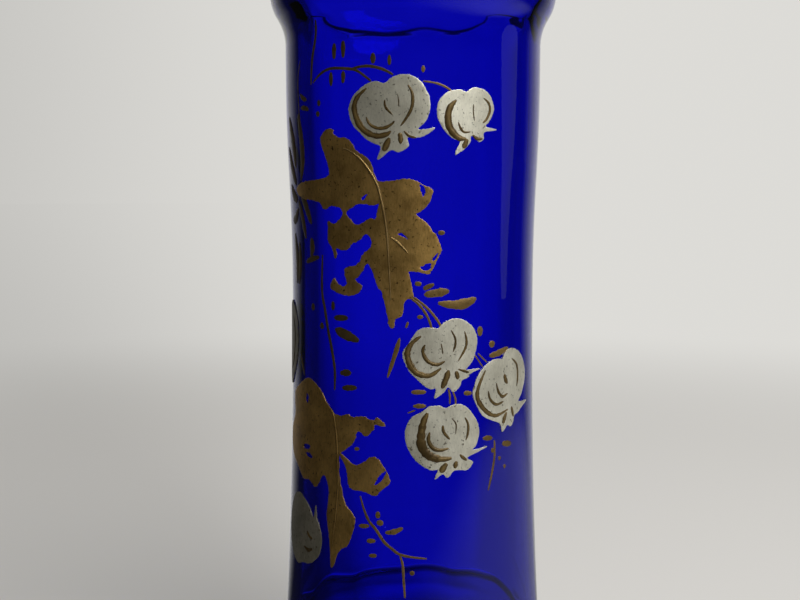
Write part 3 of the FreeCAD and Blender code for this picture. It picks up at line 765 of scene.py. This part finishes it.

# Gilt sprigs
# Stems and leaflets in the same gold, which join the leaves and the fruits. Each is one stroke
# of a pointed brush, given by its width and the points along it. The sprigs at the left
# are in a darker copy of the gold, painted shade on the side away from the lamp.
dark_gilt = fired_paint(
    "dark_gilt",
    dark=(0.12, 0.072, 0.018, 1),
    light=(0.24, 0.15, 0.042, 1),
    pit=BROWN_PIT,
    metallic=0.6,
    roughness=0.5,
)
# A darker copy of the gold for the sprigs at the left: painted shade on the side away from the lamp.
shaded_gilt = fired_paint(
    "shaded_gilt",
    dark=(0.04, 0.026, 0.008, 1),
    light=(0.09, 0.058, 0.018, 1),
    pit=BROWN_PIT,
    metallic=0.5,
    roughness=0.5,
)

UPPER_STEMS = seen_strokes([
    (0.8, [(316, 20), (314, 40), (311, 60), (310, 85)]),
    (0.7, [(312, 83), (318, 75), (325, 70), (333, 68), (350, 69),
          (358, 72), (370, 81)]),
    (0.7, [(350, 69), (358, 67), (368, 66), (378, 68), (386, 71), (392, 75)]),
    (0.6, [(299, 60), (297, 80), (298, 105), (300, 130), (303, 150)]),
])
UPPER_LEAFLETS = seen_strokes([
    (1.2, [(299, 94), (302, 98), (306, 100)]),
    (1.2, [(300, 108), (304, 108), (308, 110)]),
    (1.2, [(333, 43), (333, 51), (333, 59)]),
    (1.2, [(342, 40.5), (342, 49), (342, 57.5)]),
    (1.2, [(372, 52.5), (372, 58), (372, 63.5)]),
    (0.9, [(388, 55), (388, 60), (388, 65)]),
    (1.1, [(330, 72), (330, 79), (330, 86)]),
    (1.1, [(342, 71), (342, 77), (342, 83)]),
    (1.2, [(318, 100), (318, 103), (318, 106)]),
    (1.2, [(317, 111), (317, 114), (317, 117)]),
])
UPPER_LEAFLETS += [
    (2.2, [(-31.2, 149.0), (-30.2, 144.0), (-29.8, 138.5), (-31.0, 133.5)]),
    (2.6, [(-37.5, 148.5), (-35.0, 143.0), (-33.8, 136.5)]),
    (2.6, [(-39.0, 141.5), (-36.4, 136.5), (-34.0, 132.5)]),
    (2.6, [(-38.5, 132.5), (-36.0, 130.0), (-33.6, 129.0)]),
    (2.2, [(-38.0, 124.0), (-35.6, 124.5), (-33.4, 127.0)]),
    (2.2, [(-32.0, 132.0), (-29.4, 128.0), (-27.0, 123.5)]),
    (1.8, [(-33.0, 129.0), (-31.0, 124.5), (-29.6, 120.0)]),
]
TOP_STEMS = seen_strokes([
    (0.5, [(422, 81), (430, 82), (438, 84), (446, 88), (455, 95)]),
])
TOP_LEAFLETS = seen_strokes([
    (0.8, [(422, 65.5), (422, 69), (422, 72.5)]),
])
MIDDLE_STEMS = seen_strokes([
    (0.6, [(405, 295), (413, 300), (420, 306), (427, 316), (431, 326),
          (432, 335)]),
    (0.6, [(413, 297), (420, 302), (429, 310), (437, 320), (444, 332)]),
    (0.5, [(449, 389), (450, 396), (450, 404)]),
    (0.5, [(453, 391), (456, 400), (455, 409)]),
])
MIDDLE_LEAFLETS = seen_strokes([
    (1.2, [(437.5, 233), (441, 233), (444.5, 233)]),
    (1.2, [(414.5, 284), (418, 284), (421.5, 284)]),
    (1.2, [(423, 289), (428, 287), (434, 284)]),
    (1.9, [(424, 295), (437, 293), (449, 291)]),
    (2.3, [(438, 303), (455, 305), (466, 303), (476, 298)]),
    (1.0, [(417, 317), (420, 317), (423, 317)]),
    (0.7, [(406, 328), (408, 322)]),
    (1.1, [(400, 338), (396, 352), (388, 378)]),
    (1.2, [(411.5, 392), (419, 392), (426.5, 392)]),
    (1.1, [(413.5, 406), (420, 406), (426.5, 406)]),
    (0.4, [(408, 413), (416, 410)]),
])
RIGHT_STEMS = seen_strokes([
    (0.4, [(475, 355), (479, 361), (483, 367)]),
    (0.4, [(478, 353), (482, 357), (487, 362)]),
    (0.7, [(495, 440), (495, 455), (493, 470), (489, 490)]),
])
RIGHT_LEAFLETS = seen_strokes([
    (1.5, [(480, 326), (480, 331), (480, 336)]),
    (1.8, [(492, 340.5), (492, 344), (492, 347.5)]),
    (1.2, [(464, 393), (468, 393), (472, 393)]),
    (1.2, [(483, 438), (488, 438), (493, 438)]),
    (1.5, [(502.5, 443), (507, 443), (511.5, 443)]),
    (1.0, [(493, 447.5), (493, 450), (493, 452.5)]),
    (1.0, [(500, 456), (500, 458), (500, 460)]),
    (1.0, [(505, 464), (505, 466), (505, 468)]),
    (1.5, [(489, 356), (498, 353), (508, 347)]),
])
LEFT_STEMS = seen_strokes([
    (0.9, [(322, 255), (322, 290), (325, 310), (328, 330), (332, 350),
          (335, 370), (335, 390)]),
])
LEFT_LEAFLETS = seen_strokes([
    (2.0, [(311, 238), (312, 247), (311, 257)]),
    (1.4, [(306, 262), (312, 259), (319, 257)]),
    (1.1, [(301, 352), (303, 365), (305, 376)]),
    (1.5, [(334, 318), (341, 318), (348, 318)]),
    (2.4, [(335, 329), (346, 335), (359, 341)]),
    (1.2, [(333, 301.5), (333, 306), (333, 310.5)]),
    (1.5, [(322, 322.5), (322, 326), (322, 329.5)]),
    (1.5, [(313, 303.5), (313, 307), (313, 310.5)]),
    (1.6, [(340.5, 373), (346, 373), (351.5, 373)]),
    (1.4, [(342.5, 388), (350, 388), (357.5, 388)]),
])
LEFT_LEAFLETS += [
    (2.4, [(-36.5, 121.0), (-35.2, 115.0), (-35.6, 109.0)]),
    (2.0, [(-33.5, 119.0), (-33.2, 114.0), (-34.2, 109.0)]),
]
LOWER_STEMS = seen_strokes([
    (0.7, [(361, 496), (365, 510), (370, 521), (377, 530), (385, 542),
          (393, 549), (400, 554), (410, 557), (428, 559)]),
    (0.6, [(401, 556), (404, 566), (405, 580), (406, 598)]),
])
LOWER_LEAFLETS = seen_strokes([
    (1.1, [(359.5, 526), (365, 526), (370.5, 526)]),
    (1.5, [(377.5, 523), (381, 523), (384.5, 523)]),
    (1.3, [(386, 533), (395, 532), (404, 528)]),
    (1.2, [(367.5, 541), (372, 541), (376.5, 541)]),
    (1.0, [(370, 556), (374, 556), (378, 556)]),
    (1.0, [(410.5, 573), (413, 573), (415.5, 573)]),
    (1.2, [(379, 511.5), (379, 515), (379, 518.5)]),
    (0.9, [(355, 449), (360, 449)]),
])
SPRIGS = {
    "upper_sprig": (UPPER_STEMS, UPPER_LEAFLETS, shaded_gilt),
    "top_sprig": (TOP_STEMS, TOP_LEAFLETS, dark_gilt),
    "middle_sprig": (MIDDLE_STEMS, MIDDLE_LEAFLETS, dark_gilt),
    "right_sprig": (RIGHT_STEMS, RIGHT_LEAFLETS, dark_gilt),
    "left_sprig": (LEFT_STEMS, LEFT_LEAFLETS, shaded_gilt),
    "lower_sprig": (LOWER_STEMS, LOWER_LEAFLETS, dark_gilt),
}
for node, (stems, leaflets, paint) in SPRIGS.items():
    sprig = one_piece("gilt_" + node, [
        paint_strokes(stems, paint, PAINT_LIFT, rise=0.2, blunt=0.2),
        paint_strokes(leaflets, paint, PAINT_LIFT, rise=0.14, blunt=0.5),
    ])
    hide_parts(node)

# Floor
# A sheet of pale paper that runs out into the pale surround. Near the bottle half of it glows,
# painted fill light that softens the shadow. Seen through the glass it carries painted shade:
# dark to the left, a painted shadow close to the foot, and dimmer to the right. Reflections find
# a painted reflection on it, bright only behind the bottle and in one patch at its right.
PALE = (0.72, 0.71, 0.68, 1.0)
WHITE = (1.0, 1.0, 1.0, 1.0)
TO_THE_RIGHT = (1.0, 0.0, 0.0)
DARK_SIDE = (-0.8, 0.6, 0.0)
BRIGHT_SIDE = (0.05, 1.0, 0.0)
BRIGHT_PATCH = (0.22, 0.03, 0.0)
bpy.ops.object.select_all(action="DESELECT")
bpy.ops.mesh.primitive_circle_add(vertices=96, radius=6.0, fill_type="NGON", location=(0, 0, 0))
floor = bpy.context.object
floor.name = "floor"


def measure(tree, operation, place, other):
    """A distance between two places, or how far two directions agree."""
    node = tree.nodes.new("ShaderNodeVectorMath")
    node.operation = operation
    node.inputs[1].default_value = other
    tree.links.new(place, node.inputs[0])
    return node.outputs["Value"]


def ramp(tree, value, first, last, low, high):
    """A smooth change from low to high while a value goes from first to last."""
    node = tree.nodes.new("ShaderNodeMapRange")
    node.interpolation_type = "SMOOTHSTEP"
    node.inputs["From Min"].default_value = first
    node.inputs["From Max"].default_value = last
    node.inputs["To Min"].default_value = low
    node.inputs["To Max"].default_value = high
    tree.links.new(value, node.inputs["Value"])
    return node.outputs["Result"]


def combine(tree, operation, one, other):
    node = tree.nodes.new("ShaderNodeMath")
    node.operation = operation
    tree.links.new(one, node.inputs[0])
    tree.links.new(other, node.inputs[1])
    return node.outputs["Value"]


def glow(tree, colour, strength):
    node = tree.nodes.new("ShaderNodeEmission")
    node.inputs["Color"].default_value = colour
    tree.links.new(strength, node.inputs["Strength"])
    return node.outputs["Emission"]


def cover(tree, share, under, over):
    node = tree.nodes.new("ShaderNodeMixShader")
    tree.links.new(share, node.inputs["Fac"])
    tree.links.new(under, node.inputs[1])
    tree.links.new(over, node.inputs[2])
    return node.outputs["Shader"]


paper = bpy.data.materials.new("pale_paper")
paper.use_nodes = True
sheet = paper.node_tree
paper_shader = sheet.nodes["Principled BSDF"]
paper_shader.inputs["Base Color"].default_value = (0.84, 0.81, 0.77, 1.0)
paper_shader.inputs["Roughness"].default_value = 0.9
paper_shader.inputs["Specular IOR Level"].default_value = 0.1
paper_place = sheet.nodes.new("ShaderNodeTexCoord").outputs["Object"]
paper_turn = sheet.nodes.new("ShaderNodeVectorMath")
paper_turn.operation = "NORMALIZE"
sheet.links.new(paper_place, paper_turn.inputs[0])
paper_way = paper_turn.outputs["Vector"]
paper_rays = sheet.nodes.new("ShaderNodeLightPath").outputs
from_foot = measure(sheet, "DISTANCE", paper_place, (0.0, 0.0, 0.0))
from_patch = measure(sheet, "DISTANCE", paper_place, BRIGHT_PATCH)
rightward = measure(sheet, "DOT_PRODUCT", paper_way, TO_THE_RIGHT)
darkward = measure(sheet, "DOT_PRODUCT", paper_way, DARK_SIDE)
brightward = measure(sheet, "DOT_PRODUCT", paper_way, BRIGHT_SIDE)

# Near the bottle half of the paper glows, painted fill light that softens the shadow; further out it glows
# wholly into the surround, dimmer to the left as painted shade.
paper_glow = glow(sheet, PALE, ramp(sheet, rightward, -0.5, -0.05, 0.72, 1.0))
glow_share = ramp(sheet, from_foot, 0.3, 0.75, 0.5, 1.0)
paper_look = cover(sheet, glow_share, paper_shader.outputs["BSDF"], paper_glow)

# Painted reflection: reflected rays find the paper glowing white behind the bottle and in one spot at its
# right.
patch = ramp(sheet, from_patch, 0.12, 0.32, 0.4, 0.02)
behind = ramp(sheet, brightward, 0.5, 0.95, 0.0, 0.6)
reflected = glow(sheet, WHITE, combine(sheet, "MAXIMUM", patch, behind))
mirror_ray = combine(sheet, "SUBTRACT", paper_rays["Is Glossy Ray"], paper_rays["Is Transmission Ray"])
paper_look = cover(sheet, mirror_ray, paper_look, reflected)

# Painted shade for rays through the glass: the paper goes black to the left, dimmer to the right, and black
# round the foot as a painted shadow.
left_shade = ramp(sheet, darkward, 0.66, 0.9, 0.0, 0.9)
right_shade = ramp(sheet, rightward, 0.15, 0.3, 0.0, 0.32)
foot_shade = ramp(sheet, from_foot, 0.045, 0.11, 0.9, 0.0)
shade = combine(sheet, "MAXIMUM", combine(sheet, "MAXIMUM", left_shade, right_shade), foot_shade)
shade = combine(sheet, "MULTIPLY", shade, paper_rays["Is Transmission Ray"])
unlit = sheet.nodes.new("ShaderNodeEmission")
unlit.inputs["Strength"].default_value = 0.0
paper_look = cover(sheet, shade, paper_look, unlit.outputs["Emission"])
sheet.links.new(paper_look, sheet.nodes["Material Output"].inputs["Surface"])
floor.data.materials.append(paper)

# Surround and lamps
# A pale wall behind and a dim room in front, a broad lamp high on the right and a far window
# whose reflection is the streak down the right of the barrel. As on the floor, rays that
# come through the glass and rays that reflect off it each find their own surround.
UPWARD = (0.0, 0.0, 1.0)
TO_THE_FRONT = (0.0, -1.0, 0.0)
TO_THE_LEFT = (-1.0, 0.0, 0.0)
LAMP_SIDE = (0.9, -0.4, 0.0)
world = bpy.data.worlds.new("studio")
bpy.context.scene.world = world
world.use_nodes = True
sky = world.node_tree
sky_way = sky.nodes.new("ShaderNodeTexCoord").outputs["Generated"]
sky_rays = sky.nodes.new("ShaderNodeLightPath").outputs


def toward(way, first, last, low, high):
    """A brightness that goes from low to high as a ray turns toward a direction."""
    return ramp(sky, measure(sky, "DOT_PRODUCT", sky_way, way), first, last, low, high)


def choose(ray, otherwise, value):
    pick = sky.nodes.new("ShaderNodeMix")
    sky.links.new(sky_rays[ray], pick.inputs["Factor"])
    sky.links.new(otherwise, pick.inputs["A"])
    sky.links.new(value, pick.inputs["B"])
    return pick.outputs["Result"]


through = toward(DARK_SIDE, 0.66, 0.9, 1.0, 0.1)
through = combine(sky, "MULTIPLY", through, toward(UPWARD, 0.3, 0.6, 1.0, 0.1))
through = combine(sky, "MULTIPLY", through, toward(TO_THE_FRONT, 0.0, 0.5, 1.0, 0.1))
through = combine(sky, "MULTIPLY", through, toward(TO_THE_RIGHT, 0.15, 0.3, 1.0, 0.68))
strength = toward(LAMP_SIDE, -0.7, 0.8, 0.05, 0.5)
strength = choose("Is Glossy Ray", strength, toward(BRIGHT_SIDE, 0.5, 0.95, 0.02, 0.9))
strength = choose("Is Transmission Ray", strength, through)
strength = choose("Is Camera Ray", strength, toward(TO_THE_LEFT, 0.05, 0.5, 1.0, 0.72))
sky.nodes["Background"].inputs["Color"].default_value = PALE
sky.links.new(strength, sky.nodes["Background"].inputs["Strength"])


def area_lamp(name, place, target, wide, high, power):
    data = bpy.data.lights.new(name, "AREA")
    data.shape = "ELLIPSE"
    data.size = wide
    data.size_y = high
    data.energy = power
    lamp = bpy.data.objects.new(name, data)
    bpy.context.scene.collection.objects.link(lamp)
    lamp.location = place
    way = Vector(target) - Vector(place)
    lamp.rotation_euler = way.to_track_quat("-Z", "Y").to_euler()


area_lamp("key_lamp", (0.52, -0.49, 0.74), (0.0, 0.0, 0.12), wide=0.8, high=0.8, power=8.5)
area_lamp("far_window", (1.0, 0.06, 0.45), (0.0, 0.0, 0.3), wide=0.42, high=0.95, power=0.2)

# Camera
# Just over the middle of the barrel and close to it, looking slightly down, so that the
# picture cuts the bottle off above its foot and just above the start of its shoulder.
camera_data = bpy.data.cameras.new("camera")
camera_data.sensor_width = SENSOR
camera_data.lens = LENS
camera_data.clip_start = 0.01
camera = bpy.data.objects.new("camera", camera_data)
bpy.context.scene.collection.objects.link(camera)
camera.location = (0.0, -CAMERA_BACK * MM, CAMERA_HEIGHT * MM)
camera.rotation_euler = (math.pi / 2 - CAMERA_TILT, 0.0, math.radians(0.62))
bpy.context.scene.camera = camera
bpy.context.scene.view_settings.view_transform = "Standard"
